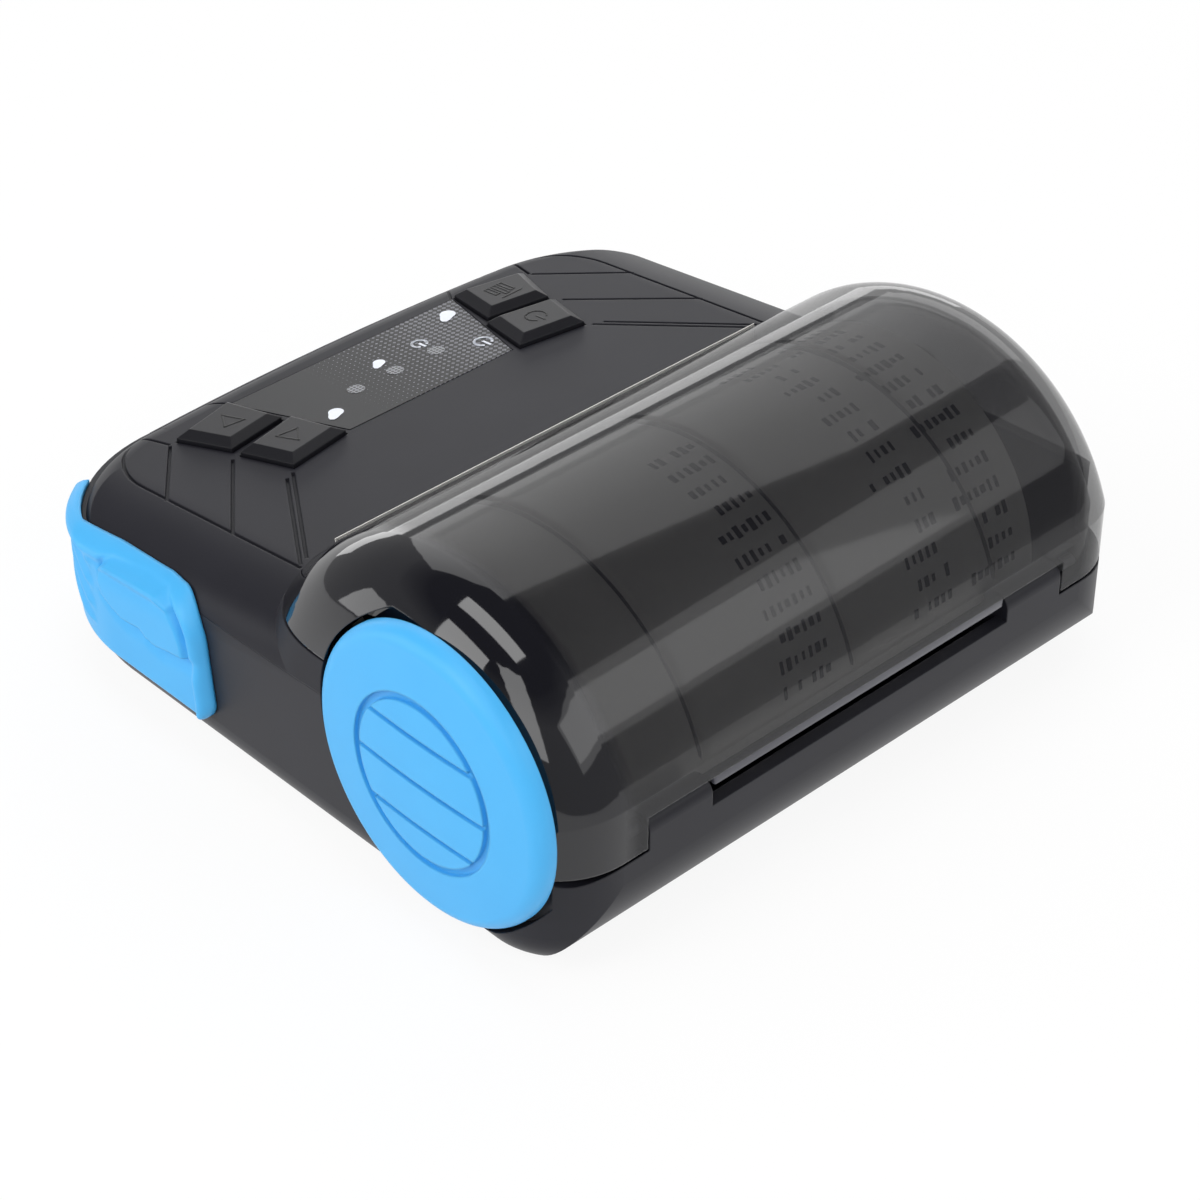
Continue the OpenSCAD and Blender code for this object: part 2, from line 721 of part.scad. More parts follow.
module roll_core() color([0.75, 0.66, 0.52]) mid() difference() {
    rod_x(-paper_w / 2, paper_w / 2, roll_y, roll_z, core_r);
    rod_x(-50, 50, roll_y, roll_z, core_r - 1);
}
web_y = head_y + head_gap / 2 - web_t / 2;
web_in = [3.5, 17.2];
to_roll = norm([roll_y, roll_z] - web_in);
web_r = roll_r + web_t / 2;
web_dir = atan2(roll_z - web_in[1], roll_y - web_in[0]) - asin(web_r / to_roll);
web_start = web_in + sqrt(to_roll * to_roll - web_r * web_r) * [cos(web_dir), sin(web_dir)];
web_pts = [web_start, web_in, [web_y, 20.5], [web_y, 28.8], [edge_y - 0.35, 30.5],
    [edge_y - 0.35, 33.5]];
module paper_web() color([0.93, 0.93, 0.92]) mid()
    for (i = [0:len(web_pts) - 2])
        along_x(-paper_w / 2, paper_w / 2) web_piece(web_pts[i], web_pts[i + 1]);
module web_piece(p, q) {
    translate(p) rotate(atan2(q[1] - p[1], q[0] - p[0]))
        translate([-0.04, -web_t / 2]) square([norm(q - p) + 0.08, web_t]);
}
module printed_slip() color([0.93, 0.93, 0.92]) mid()
    along_x(-paper_w / 2, paper_w / 2) intersection() {
        difference() {
            translate([25.3, 17.8]) circle(26.3);
            translate([25.3, 17.8]) circle(26.15);
        }
        translate([6, rear_top + 0.9]) square([60, 60]);
    }

// the release disc: soft cap with a domed face, guide stem and push post
// half of the disc's section: a flat dome that ends in a round edge
module disc_half() {
    edge_x = disc_r - disc_edge_r;
    intersection() {
        square([disc_r, disc_face_t]);
        union() {
            square([disc_r, disc_rim_t]);
            translate([edge_x, disc_rim_t]) circle(disc_edge_r);
            intersection() {
                square([edge_x, disc_face_t]);
                translate([0, disc_face_t - disc_dome_r]) circle(disc_dome_r, $fn = 720);
            }
        }
    }
}
module release_disc() color([0.20, 0.60, 0.95]) mid() {
    f1 = disc_back_x + disc_face_t;
    difference() {
        union() {
            translate([disc_back_x, disc_y, disc_z]) rotate([0, 90, 0]) rotate_extrude() disc_half();
            // stem with the collar that keeps the disc on its plate
            pocket(stem_r, pocket_x - plate_t - 2.6, disc_back_x + 1);
            pocket(stem_r + 0.7, pocket_x - plate_t - 1.5, pocket_x - plate_t - 0.1);
            rod_x(post_tip_x + 2.2, disc_back_x + 1, post_y, post_z, post_r);
            translate([post_tip_x, post_y, post_z]) rotate([0, 90, 0])
                cylinder(r1 = 0.45, r2 = post_r, h = 2.2);
        }
        difference() {
            pocket(disc_ring_r, f1 - 1.2, 60);
            pocket(disc_ring_r - 1.1, 0, 70);
        }
        for (k = [-1, 0, 1]) intersection() {
            translate([f1 - 0.9, disc_y - 30, disc_z + k * disc_line_pitch - 0.35]) cube([5, 60, 0.7]);
            pocket(disc_ring_r, 0, 70);
        }
    }
}
latch_body = [[11, 9.6], [14.6, 10], [21, 16.6], [21, 18.7], [18, 18.7], [14.8, 16.6], [10.4, 22],
    [9.4, 28.4], [3.4, 28.4], [3.2, 26.9], [6.6, 26.6], [7.4, 21.4], [9.4, 13]];
module disc_latch() color([0.6, 0.6, 0.62]) mid() {
    difference() {
        union() {
            along_x(latch_x, latch_x + latch_t) polygon(latch_body);
            rod_x(latch_x, latch_x + latch_t, latch_y, latch_z, 2.6);
        }
        rod_x(40, 60, latch_y, latch_z, 1 + run);
    }
}
module latch_pin() color([0.7, 0.7, 0.72]) mid()
    rod_x(latch_x - 2.6, half_w - 1, latch_y, latch_z, 1);
module latch_spring() color([0.6, 0.6, 0.62]) mid()
    translate([latch_x - 2.3, latch_y, latch_z]) rotate([0, 90, 0]) coil(1.27, 0.25, 4);

module main_board() color([0.05, 0.28, 0.15]) mid()
    translate([-40, -41, board_z]) cube([90, 26, board_t]);
module board_chips() color([0.12, 0.12, 0.13]) mid() {
    t = board_z + board_t;
    translate([-6, -30, t]) cube([9, 9, 1.2]);
    translate([12, -28, t]) cube([12, 8, 1.5]);
    translate([-26, -24, t]) cube([8, 5, 2]);
    translate([30, -24, t]) cylinder(r = 3, h = 3.5);
    translate([-32, -34, t]) cube([4, 10, 1]);
}
module usb_socket() color([0.75, 0.75, 0.77]) mid() {
    difference() {
        translate([48, usb_y - usb_w / 2, board_z + board_t]) cube([6.8, usb_w, usb_h]);
        translate([49, usb_y - usb_w / 2 + 0.4, board_z + board_t + 0.4])
            cube([7, usb_w - 0.8, usb_h - 0.8]);
    }
    translate([48.5, usb_y - 3.2, board_z + board_t + 1.2]) cube([5.5, 6.4, 0.8]);
}
module dc_jack() color([0.1, 0.1, 0.11]) mid() {
    jz = board_z + board_t + jack_h / 2;
    difference() {
        translate([45, jack_y - jack_w / 2, board_z + board_t]) cube([8.4, jack_w, jack_h]);
        rod_x(46.2, 60, jack_y, jz, jack_r);
    }
    rod_x(46, 52.6, jack_y, jz, 0.7);
}
module battery_pack() color([0.25, 0.45, 0.6]) mid()
    translate([-33.5, -45.7, foot_t + 1.2]) cube([67, 28, 10]);
module battery_door() color([0.11, 0.11, 0.12]) mid() difference() {
    translate([-35.8, -47.8, foot_t]) cube([71.6, 36.6, 1.2]);
    translate([0, door_screw_y, 0]) cylinder(r = 1.2, h = 10);
}
module door_screw() color([0.7, 0.7, 0.72]) mid() {
    translate([0, door_screw_y, foot_t - 0.3]) cylinder(r = 1.1, h = 6.3);
    translate([0, door_screw_y, foot_t - 0.6]) cylinder(r = 2.2, h = 0.6);
}
module case_screws() color([0.7, 0.7, 0.72]) mid()
    both() for (p = screw_spots) {
        translate([p[0], p[1], 5.5]) cylinder(r = 2, h = 2);
        translate([p[0], p[1], 7]) cylinder(r = 1, h = screw_top - 7);
    }
module rubber_feet() color([0.12, 0.12, 0.12]) mid()
    both() for (y = [-38, 38]) translate([44, y, 0]) cylinder(r = 3.5, h = foot_t);

// the port flap: a sheet that follows the case, cut to its outline
module flap_outline(in) {
    // rear end of the flap with one large and one small round corner
    top = panel_z + (flap_rear + half_d) * tan(panel_tilt) - flap_drop;
    along_x(40, 70) intersection() {
        translate([-half_d - 10, flap_low + in]) square([flap_rear + half_d + 10 - in, 30]);
        union() {
            translate([-half_d - 10, 0]) square([flap_rear + half_d + 1, 40]);
            translate([flap_rear - 9, top - 9]) circle(9 - in);
            translate([flap_rear - 4, flap_low + 4]) circle(4 - in);
            translate([flap_rear - 10, flap_low + 4]) square([10 - in, top - 13 - flap_low]);
            translate([flap_rear - 10, flap_low]) square([6, 10]);
        }
        translate([0, panel_z + half_d * tan(panel_tilt) - flap_drop - in])
            rotate(panel_tilt) translate([-80, -80]) square([160, 80]);
    }
}
module corner_side(a) {
    // everything on the door side of a plane through the front corner centre
    translate([corner_x, corner_y, 0]) rotate([0, 0, a]) translate([-60, 0, -10]) cube([150, 150, 70]);
}
// the case side seen by the flap, moved out by t
module flap_wrap(t) {
    intersection() {
        linear_extrude(40) {
            translate([corner_x, corner_y]) circle(front_r + t);
            translate([corner_x, corner_y]) square([front_r + t, flap_rear + 5 - corner_y]);
        }
        on_panel() translate([0, far / 2, 0]) rotate([90, 0, 0]) linear_extrude(far) side_section(-t);
    }
}
module flap_door() color([0.20, 0.60, 0.95]) mid() {
    difference() {
        intersection() {
            flap_wrap(flap_t);
            flap_outline(0);
            corner_side(flap_hinge + 1);
        }
        flap_wrap(flap_gap);
    }
}
module flap_anchor() color([0.20, 0.60, 0.95]) mid() {
    difference() {
        intersection() {
            low_body(-flap_t);
            translate([30, -70, flap_low]) cube([40, 60, 13]);
            corner_side(-84);
        }
        corner_side(flap_hinge);
        low_body(0);
    }
    anchor_post(0.02);
}
module anchor_post(g) {
    translate([corner_x, corner_y, 13]) rotate([0, 90, -72])
        translate([0, 0, front_r - 3.5]) cylinder(r = 1.6 - g, h = 3.6 + g);
}

lower_case();
upper_case();
paper_cover();
hinge_pins();
key_up();
key_down();
key_feed();
key_power();
key_membrane();
key_board();
status_label();
light_guides();
tear_bar();
mech_frame();
print_head();
heat_sink();
head_rod();
head_springs();
platen_bracket();
platen_rubber();
platen_shaft();
platen_bearings();
platen_gear();
idler_gear();
idler_pin();
motor_pinion();
step_motor();
paper_bay();
paper_roll();
roll_core();
paper_web();
printed_slip();
release_disc();
disc_latch();
latch_pin();
latch_spring();
main_board();
board_chips();
usb_socket();
dc_jack();
battery_pack();
battery_door();
door_screw();
case_screws();
rubber_feet();
flap_anchor();
flap_door();
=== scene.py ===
"""Looks of a portable thermal printer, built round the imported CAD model."""

import json
import math
import random

import bmesh
import bpy
from mathutils import Matrix, Vector
from mathutils.bvhtree import BVHTree


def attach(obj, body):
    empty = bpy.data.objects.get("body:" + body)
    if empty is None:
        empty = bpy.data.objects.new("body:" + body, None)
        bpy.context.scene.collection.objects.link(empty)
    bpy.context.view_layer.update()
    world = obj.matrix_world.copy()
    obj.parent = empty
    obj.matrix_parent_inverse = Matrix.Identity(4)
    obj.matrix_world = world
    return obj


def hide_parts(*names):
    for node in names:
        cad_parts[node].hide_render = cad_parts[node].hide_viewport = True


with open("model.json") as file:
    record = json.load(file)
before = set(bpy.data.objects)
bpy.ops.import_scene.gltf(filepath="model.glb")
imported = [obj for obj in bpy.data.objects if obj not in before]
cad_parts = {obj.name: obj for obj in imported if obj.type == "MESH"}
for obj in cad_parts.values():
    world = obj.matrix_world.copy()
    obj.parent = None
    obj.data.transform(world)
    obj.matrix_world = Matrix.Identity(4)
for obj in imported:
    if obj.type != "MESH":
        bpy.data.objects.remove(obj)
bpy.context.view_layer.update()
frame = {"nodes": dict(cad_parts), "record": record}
MM = 0.001


# ---------------------------------------------------------------- helpers
def linear(hex_code, alpha=1.0):
    """An sRGB hex colour as the linear values that the shader wants."""
    out = []
    for i in (1, 3, 5):
        c = int(hex_code[i : i + 2], 16) / 255
        out.append(c / 12.92 if c <= 0.04045 else ((c + 0.055) / 1.055) ** 2.4)
    return (*out, alpha)


def put(tree, kind, settings=None, links=None):
    """Adds one node, sets its values and feeds its inputs."""
    n = tree.nodes.new(kind)
    for key, value in (settings or {}).items():
        if isinstance(key, int) or key in n.inputs:
            n.inputs[key].default_value = value
        else:
            setattr(n, key, value)
    for key, source in (links or {}).items():
        tree.links.new(source, n.inputs[key])
    return n


def finish_of(name, base, rough, **shader):
    """A material with its shader; returns the tree, the shader and where the piece is."""
    m = bpy.data.materials.new(name)
    m.use_nodes = True
    tree = m.node_tree
    shade = tree.nodes["Principled BSDF"]
    shade.inputs["Base Color"].default_value = linear(base)
    shade.inputs["Roughness"].default_value = rough
    for key, value in shader.items():
        shade.inputs[key.replace("_", " ")].default_value = value
    place = put(tree, "ShaderNodeTexCoord").outputs["Object"]
    return m, tree, shade, place


def grain(tree, shade, place, size_mm, height_mm, edge_mm=0.0, stretch=(1, 1, 1)):
    """Fine surface texture of a real size, over edges softened by a real radius."""
    scaled = put(tree, "ShaderNodeMapping", {"Scale": stretch}, {"Vector": place})
    noise = put(
        tree,
        "ShaderNodeTexNoise",
        {"Scale": 1 / (size_mm * MM), "Detail": 2.0},
        {"Vector": scaled.outputs[0]},
    )
    bump = put(
        tree,
        "ShaderNodeBump",
        {"Strength": 1.0, "Distance": height_mm * MM},
        {"Height": noise.outputs["Fac"]},
    )
    if edge_mm:
        soft = put(tree, "ShaderNodeBevel", {"samples": 6, "Radius": edge_mm * MM})
        tree.links.new(soft.outputs[0], bump.inputs["Normal"])
    tree.links.new(bump.outputs[0], shade.inputs["Normal"])
    return noise


def mottle(tree, shade, place, dark, light, size_mm):
    """Slow colour change over a surface, between two close colours."""
    noise = put(tree, "ShaderNodeTexNoise", {"Scale": 1 / (size_mm * MM)}, {"Vector": place})
    mix = put(
        tree,
        "ShaderNodeMix",
        {"data_type": "RGBA", 6: linear(dark), 7: linear(light)},
        {0: noise.outputs["Fac"]},
    )
    tree.links.new(mix.outputs[2], shade.inputs["Base Color"])


# -------------------------------------------------------------- materials
def spark_eroded_abs(name, dark, light, rough, gloss):
    """Black ABS from a finely eroded mould: satin, an even fine grain, soft edges."""
    m, tree, shade, place = finish_of(name, dark, rough, IOR=1.5, Specular_IOR_Level=gloss)
    mottle(tree, shade, place, dark, light, 14)
    grain(tree, shade, place, 0.22, 0.005, 0.3)
    return m


def smoky_polycarbonate():
    """Polished tinted polycarbonate: grey see-through barrel, black glossy right end."""
    m, tree, shade, place = finish_of("smoky_polycarbonate", "#0C0C13", 0.05, IOR=1.585)
    grain(tree, shade, place, 7.0, 0.008, 0.25)
    split = put(tree, "ShaderNodeSeparateXYZ", None, {0: place})
    # the barrel is see-through up to the black end cap on the disc's side
    cap = put(
        tree,
        "ShaderNodeMapRange",
        {"From Min": 40.0 * MM, "From Max": 42.5 * MM, "To Min": 0.6, "To Max": 1.0},
        {"Value": split.outputs["X"]},
    )
    tree.links.new(cap.outputs[0], shade.inputs["Alpha"])
    return m


def sky_silicone():
    """Moulded silicone, sky blue: matt with a faint sheen and very soft edges."""
    m, tree, shade, place = finish_of("sky_silicone", "#45ACE8", 0.42, IOR=1.42)
    mottle(tree, shade, place, "#42A9E6", "#48AFEA", 9)
    grain(tree, shade, place, 0.3, 0.003, 0.5)
    return m


def label_film():
    """Printed film under a satin lacquer, with a screen of lozenges that thins out."""
    m, tree, shade, place = finish_of("label_film", "#1B1C1F", 0.24, Specular_IOR_Level=0.22)
    screen = put(
        tree,
        "ShaderNodeTexVoronoi",
        {
            "voronoi_dimensions": "2D",
            "distance": "MANHATTAN",
            "Scale": 1 / (0.95 * MM),
            "Randomness": 0.0,
        },
        {"Vector": place},
    )
    split = put(tree, "ShaderNodeSeparateXYZ", None, {0: place})
    # the lozenges grow from nothing near the right keys to almost touching on the left
    size = put(
        tree,
        "ShaderNodeMapRange",
        {"From Min": 9.0 * MM, "From Max": -14.0 * MM, "To Min": 0.0, "To Max": 0.43},
        {"Value": split.outputs["X"]},
    )
    dot = put(
        tree,
        "ShaderNodeMath",
        {"operation": "LESS_THAN"},
        {0: screen.outputs["Distance"], 1: size.outputs[0]},
    )
    mix = put(
        tree,
        "ShaderNodeMix",
        {"data_type": "RGBA", 6: linear("#17181B"), 7: linear("#6C6D74")},
        {0: dot.outputs[0]},
    )
    tree.links.new(mix.outputs[2], shade.inputs["Base Color"])
    return m


def thermal_paper():
    """Coated thermal paper: smooth and slightly warm, hardly any gloss."""
    m, tree, shade, place = finish_of("thermal_paper", "#EDEBE6", 0.55)
    grain(tree, shade, place, 0.35, 0.003)
    return m


def turned_steel():
    """Ground and plated steel: bright, with fine lines along X."""
    m, tree, shade, place = finish_of("turned_steel", "#B4B5B8", 0.32, Metallic=1.0)
    grain(tree, shade, place, 0.3, 0.003, 0.1, (0.1, 1, 1))
    return m


def mesh_window():
    """Clear film window over a light, with a fine grey net printed on it."""
    m, tree, shade, place = finish_of("mesh_window", "#2A2B2E", 0.3)
    net = put(
        tree,
        "ShaderNodeTexVoronoi",
        {
            "voronoi_dimensions": "2D",
            "feature": "DISTANCE_TO_EDGE",
            "Scale": 1 / (0.62 * MM),
            "Randomness": 0.0,
        },
        {"Vector": place},
    )
    line = put(
        tree,
        "ShaderNodeMath",
        {"operation": "LESS_THAN", 1: 0.13},
        {0: net.outputs["Distance"]},
    )
    mix = put(
        tree,
        "ShaderNodeMix",
        {"data_type": "RGBA", 6: linear("#222326"), 7: linear("#8D9096")},
        {0: line.outputs[0]},
    )
    tree.links.new(mix.outputs[2], shade.inputs["Base Color"])
    return m


def plain(name, base, rough, metal=0.0, size_mm=0.4, height_mm=0.004):
    """A simple finish with a fine grain and softened edges."""
    m, tree, shade, place = finish_of(name, base, rough, Metallic=metal)
    grain(tree, shade, place, size_mm, height_mm, 0.15)
    return m


SILICONE = sky_silicone()
FINISHES = {
    "black_case": spark_eroded_abs("spark_eroded_abs", "#1B1B21", "#222229", 0.42, 0.28),
    "smoky_cover": smoky_polycarbonate(),
    "black_parts": spark_eroded_abs("polished_abs", "#141418", "#1A1A1F", 0.34, 0.24),
    "blue_silicone": SILICONE,
    "black_rubber": plain("platen_rubber_nbr", "#141414", 0.7, 0.0, 0.25, 0.01),
    "bright_steel": turned_steel(),
    "alloy": plain("extruded_aluminium", "#BFC1C4", 0.35, 1.0),
    "paper": thermal_paper(),
    "card": plain("wound_board", "#9A7C58", 0.8, 0.0, 0.8, 0.02),
    "label_film": label_film(),
    "clear": plain("clear_acrylic", "#C9D0D6", 0.15),
    "board_green": plain("solder_mask", "#0E4A2A", 0.35),
    "white_parts": plain("acetal", "#E4E3DC", 0.4),
    "ceramic": plain("glazed_alumina", "#DAD3C0", 0.2),
    "cell_wrap": plain("shrink_wrap", "#2C5C86", 0.25),
    "brass_part": plain("turned_brass", "#B48F42", 0.3, 1.0),
    "grey_silicone": plain("key_mat_silicone", "#55565A", 0.6),
}
SLOT_OF = {s["node"]: s["material_slot"] for s in frame["record"]["subparts"]}
for name, obj in frame["nodes"].items():
    obj.data.materials.clear()
    obj.data.materials.append(FINISHES[SLOT_OF[name]])
# the top shell comes from a coarser mould than the tub, so it shines less
TOP_SHELL = spark_eroded_abs("coarse_eroded_abs", "#1A1A20", "#212128", 0.46, 0.19)
frame["nodes"]["upper_case"].data.materials[0] = TOP_SHELL


# --------------------------------------------------------- signs on the panel
MID_X = -1.25  # the case's middle in the part's frame, mm
TILT = math.radians(7.4)
PANEL_Y, PANEL_Z = -56.8, 23.8  # front edge of the sloping panel, mm
PANEL = Matrix.Translation(Vector((MID_X, PANEL_Y, PANEL_Z)) * MM) @ Matrix.Rotation(TILT, 4, "X")
KEY_RISE = 1.6
LABEL_RISE = 0.05
INK_T = 0.05


def on_panel(x, y, up=0.0):
    """A point of the sloping panel, from its place in millimetres seen from above."""
    return PANEL @ Vector((x * MM, (y - PANEL_Y) / math.cos(TILT) * MM, up * MM))


def new_piece(name, bm, material, body, smooth=False):
    """A finished piece from its bmesh, riding on a body."""
    mesh = bpy.data.meshes.new(name)
    bmesh.ops.recalc_face_normals(bm, faces=bm.faces)
    for face in bm.faces:
        face.smooth = smooth
    bm.to_mesh(mesh)
    bm.free()
    obj = bpy.data.objects.new(name, mesh)
    bpy.context.scene.collection.objects.link(obj)
    mesh.materials.append(material)
    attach(obj, body)
    return obj


def stroke(bm, a, b, width, up):
    """A flat stroke of ink on the panel from a to b, in millimetres seen from above."""
    p, q = on_panel(*a, up), on_panel(*b, up)
    along = (q - p).normalized()
    rise = (PANEL.to_3x3() @ Vector((0, 0, 1))).normalized()
    across = rise.cross(along)
    place = Matrix((along, across, rise)).transposed().to_4x4()
    place.translation = (p + q) / 2
    size = Matrix.Diagonal(((q - p).length + width * MM, width * MM, INK_T * MM, 1))
    bmesh.ops.create_cube(bm, size=1.0, matrix=place @ size)


def strokes(bm, points, width, up, closed=False):
    """A line of strokes through points."""
    ends = points[1:] + points[:1] if closed else points[1:]
    for a, b in zip(points, ends):
        stroke(bm, a, b, width, up)


def power_sign(bm, x, y, r, width, up):
    """The usual sign for power: an open ring with a stroke in its gap."""
    ring = [
        (x + r * math.sin(a), y + r * math.cos(a))
        for a in (math.radians(40 + 280 * k / 14) for k in range(15))
    ]
    strokes(bm, ring, width, up)
    stroke(bm, (x, y + 0.1 * r), (x, y + 1.15 * r), width, up)


def leaf_sign(bm, x, y, r, up):
    """A small solid leaf, drawn as a circle that is pulled out to one point."""
    place = PANEL.to_3x3().to_4x4()
    place.translation = on_panel(x, y, up)
    leaf = bmesh.ops.create_circle(bm, cap_ends=True, segments=24, radius=1.0)["verts"]
    for v in leaf:
        reach = r * (1 + 1.1 * max(0.0, v.co.normalized().dot(Vector((0.8, 0.6, 0)))) ** 7)
        v.co = place @ (v.co * reach * MM)


ENGRAVED = plain("engraved_line", "#050506", 0.5)
WHITE_INK = plain("screen_printed_white", "#E4E8F2", 0.4)
KEY_TOP = KEY_RISE + INK_T / 2
LINE_W = 0.28
FINE_W = 0.2
FRONT_RIGHT, REAR_RIGHT = (26.5, -43.4), (23.5, -32.6)
FRONT_LEFT, REAR_LEFT = (-26.5, -43.4), (-23.5, -32.6)
DOWN_ARROW = [(-0.4, -2.1), (1.6, 1.1), (-1.6, 1.6)]
UP_ARROW = [(0.4, 2.1), (1.7, -1.4), (-1.7, -0.9)]

for name, centre, arrow in (
    ("down", FRONT_RIGHT, DOWN_ARROW),
    ("up", REAR_RIGHT, UP_ARROW),
):
    bm = bmesh.new()
    corners = [(centre[0] + x, centre[1] + y) for x, y in arrow]
    strokes(bm, corners, LINE_W, KEY_TOP, True)
    new_piece(f"{name}_sign", bm, ENGRAVED, f"key_{name}")

# the feed key shows three strips of paper under a bar
STRIP_W, STRIP_STEP, STRIP_FOOT = 0.75, 1.3, -2.0
bm = bmesh.new()
x, y = FRONT_LEFT
foot = y + STRIP_FOOT
for k, reach in enumerate((3.0, 3.4, 2.6)):
    a = x - 1.4 + STRIP_STEP * k
    b = a + STRIP_W
    strokes(bm, [(a, foot), (b, foot), (b, foot + reach), (a, foot + reach)], FINE_W, KEY_TOP, True)
stroke(bm, (x - 1.9, y + 2.1), (x + 1.9, y + 2.1), FINE_W, KEY_TOP)
new_piece("feed_sign", bm, ENGRAVED, "key_feed")

bm = bmesh.new()
power_sign(bm, *REAR_LEFT, 1.6, LINE_W, KEY_TOP)
new_piece("power_sign", bm, ENGRAVED, "key_power")

# white signs on the label: x, y and radius; leaves stand where the lights' names would
LABEL_POWER = ((-14.8, -35.0, 1.35), (-8.4, -42.2, 1.15))
LABEL_LEAVES = ((-17.6, -46.3, 1.25), (-0.6, -42.3, 0.95), (13.5, -35.2, 1.15))
LABEL_LINE_W = 0.4
LABEL_TOP = LABEL_RISE + INK_T / 2 + 0.01
bm = bmesh.new()
for x, y, r in LABEL_POWER:
    power_sign(bm, x, y, r, LABEL_LINE_W, LABEL_TOP + 0.02)
for x, y, r in LABEL_LEAVES:
    leaf_sign(bm, x, y, r, LABEL_TOP + 0.03)
new_piece("label_signs", bm, WHITE_INK, "case")

LIGHTS_X, LIGHTS_Y, LIGHT_R = (-8.5, -0.5, 7.0), -38.5, 1.35
bm = bmesh.new()
for x in LIGHTS_X:
    place = PANEL.to_3x3().to_4x4()
    place.translation = on_panel(x, LIGHTS_Y, LABEL_RISE + 0.04)
    bmesh.ops.create_circle(bm, cap_ends=True, segments=32, radius=LIGHT_R * MM, matrix=place)
new_piece("light_windows", bm, mesh_window(), "case")

# ------------------------------------------------------- print on the paper
SLIP_R = 26.3
SLIP_Y, SLIP_Z = 25.3, 17.8  # middle of the slip's curve
PRINT_GAP = 0.06
LETTER_STEP = 1.35
ROWS, ROW_TURN, FIRST_TURN = 15, 8.2, -34
draw = random.Random(11)
bm = bmesh.new()


def letter(x, turn, width, height):
    """One short mark on the outside of the curved slip, turn degrees back from its top."""
    a = math.radians(turn)
    out = Vector((0, math.sin(a), math.cos(a)))
    place = Matrix((Vector((1, 0, 0)), Vector((0, math.cos(a), -math.sin(a))), out)).transposed()
    place = place.to_4x4()
    place.translation = Vector((x, SLIP_Y, SLIP_Z)) * MM + out * (SLIP_R + PRINT_GAP) * MM
    size = Matrix.Diagonal((width * MM, height * MM, 0.04 * MM, 1))
    bmesh.ops.create_cube(bm, size=1.0, matrix=place @ size)


def word(x, turn, letters):
    """A run of marks with a few left out, so that it says nothing."""
    for k in range(letters):
        if draw.random() < 0.9:
            letter(x + LETTER_STEP * k, turn, draw.uniform(0.45, 0.95), draw.uniform(1.0, 1.9))


for row in range(ROWS):
    turn = FIRST_TURN + ROW_TURN * row
    word(-37, turn, draw.randint(4, 8))
    word(-24, turn, draw.randint(3, 6))
    if row > 3:
        word(0, turn, draw.randint(5, 7))
INK = plain("thermal_print", "#1C1B20", 0.6)
new_piece("dash_rows", bm, INK, "cover")

# ------------------------------------------------- lip over the rear slot
LIP_SIZE, LIP_PLACE, LIP_ROUND = (55.6, 1.2, 1.93), (MID_X, 56.1, 20.915), 0.5
bm = bmesh.new()
lip = bmesh.ops.create_cube(bm, size=1.0)["verts"]
bmesh.ops.scale(bm, vec=Vector(LIP_SIZE) * MM, verts=lip)
bmesh.ops.translate(bm, vec=Vector(LIP_PLACE) * MM, verts=lip)
bmesh.ops.bevel(
    bm,
    geom=bm.edges[:],
    offset=LIP_ROUND * MM,
    affect="EDGES",
    segments=4,
    profile=0.5,
    material=-1,
)
# the lip is glossy, but its grey, far lighter than the smoky cover, is a painted reflection of
# light along the cover's edge
LIP_PAINTED_REFLECTION = plain("lip_painted_reflection", "#4C4C54", 0.16)
new_piece("cover_lip", bm, LIP_PAINTED_REFLECTION, "cover", True)

# ------------------------------------------------------------- port flap
# the flap bends round this upright axis at the case's corner, mm
FLAP_X, FLAP_Y, FLAP_R = 32.0 + MID_X, -31.74, 25.3
FLAP_START = math.radians(-53.9)
FLAP_LOW, FLAP_REAR = 6.75, -10.4
# the top edge rises with the panel, then more slowly, then runs level
FRONT_TOP, FLAP_TOP, TOP_SLOPE, TOP_LIMIT = 29.05, 28.05, 0.1, 26.0
REAR_LEAN, LEAN_FROM = 0.09, 10.0
BIG_R, SMALL_R = 6.0, 3.5
SKIN, EDGE_R = 1.25, 1.05
RIM_W, RIM_H = 3.2, 1.0
PAD_H, GROOVE_DEEP, RECESS_DEEP = 1.15, 0.5, 0.5
RIB_H, RIB_STEP, RIB_SLANT = 0.6, 3.7, 0.45
# outline of the raised pad: place along the side and height
PAD = [
    (-33.6, 20.2), (-33.4, 22.2), (-31.9, 23.1), (-24.4, 24.3), (-19.2, 24.6), (-16.4, 23.7),
    (-14.4, 21.4), (-13.5, 19.0), (-13.4, 16.6), (-16.6, 16.2), (-20.4, 15.4), (-22.6, 15.7),
    (-24.0, 16.6), (-26.0, 16.2), (-28.0, 16.0), (-30.4, 16.8), (-32.6, 18.0),
]
frame_door = frame["nodes"]["flap_door"]
door_bm = bmesh.new()
door_bm.from_mesh(frame_door.data)
DOOR = BVHTree.FromBMesh(door_bm)
door_bm.free()


def flap_top(y):
    """Height of the flap's top edge."""
    return min(FRONT_TOP + math.tan(TILT) * y, FLAP_TOP + TOP_SLOPE * y, TOP_LIMIT)


def flap_limits(y):
    """Lowest and highest point of the flap at a place along the side."""
    low, high = FLAP_LOW, flap_top(y)
    big_y, small_y = FLAP_REAR - BIG_R, FLAP_REAR - SMALL_R
    if y > big_y:
        arc = math.sqrt(max(0.0, BIG_R**2 - (y - big_y) ** 2))
        high = flap_top(big_y) - BIG_R + arc
    if y > small_y:
        low = FLAP_LOW + SMALL_R - math.sqrt(max(0.0, SMALL_R**2 - (y - small_y) ** 2))
    return low, high


def lean(y, z):
    """How far a point near the rear edge sits forward, because that edge leans."""
    return REAR_LEAN * max(0.0, z - LEAN_FROM) * smooth_step(y, FLAP_REAR - 14.0, FLAP_REAR - 2.0)


